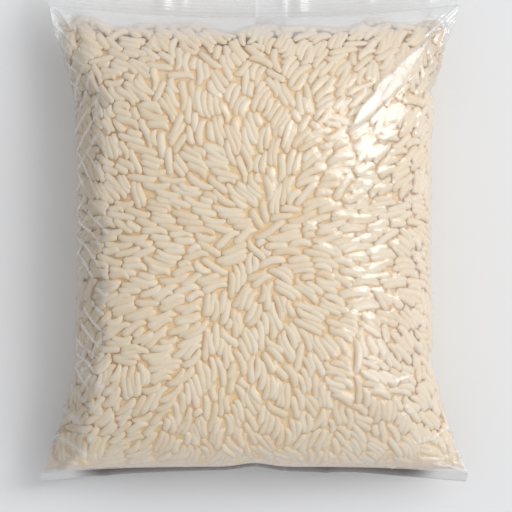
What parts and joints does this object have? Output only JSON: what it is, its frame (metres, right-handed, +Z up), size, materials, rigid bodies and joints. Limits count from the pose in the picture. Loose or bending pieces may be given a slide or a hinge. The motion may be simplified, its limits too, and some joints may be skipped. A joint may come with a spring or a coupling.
{
  "type": "bag of rice",
  "caption": "Clear pillow bag filled with long-grain white rice, lying on its back, with a crimped seal across each end and a flat ear at each corner.",
  "frame": {"origin": "on the surface the bag lies on, under the centre of its bounding box", "axes": "X across the bag, +Y from the bottom seal towards the top seal, +Z up out of the filled front"},
  "size_m": [0.1426, 0.1688, 0.047],
  "materials": {
    "rice": "uncooked long-grain white rice, ivory with a faint gloss",
    "film": "clear glossy film, hazier where it is crimped"
  },
  "bodies": {
    "root": {"filled_bag": "rice"}
  },
  "joints": []
}
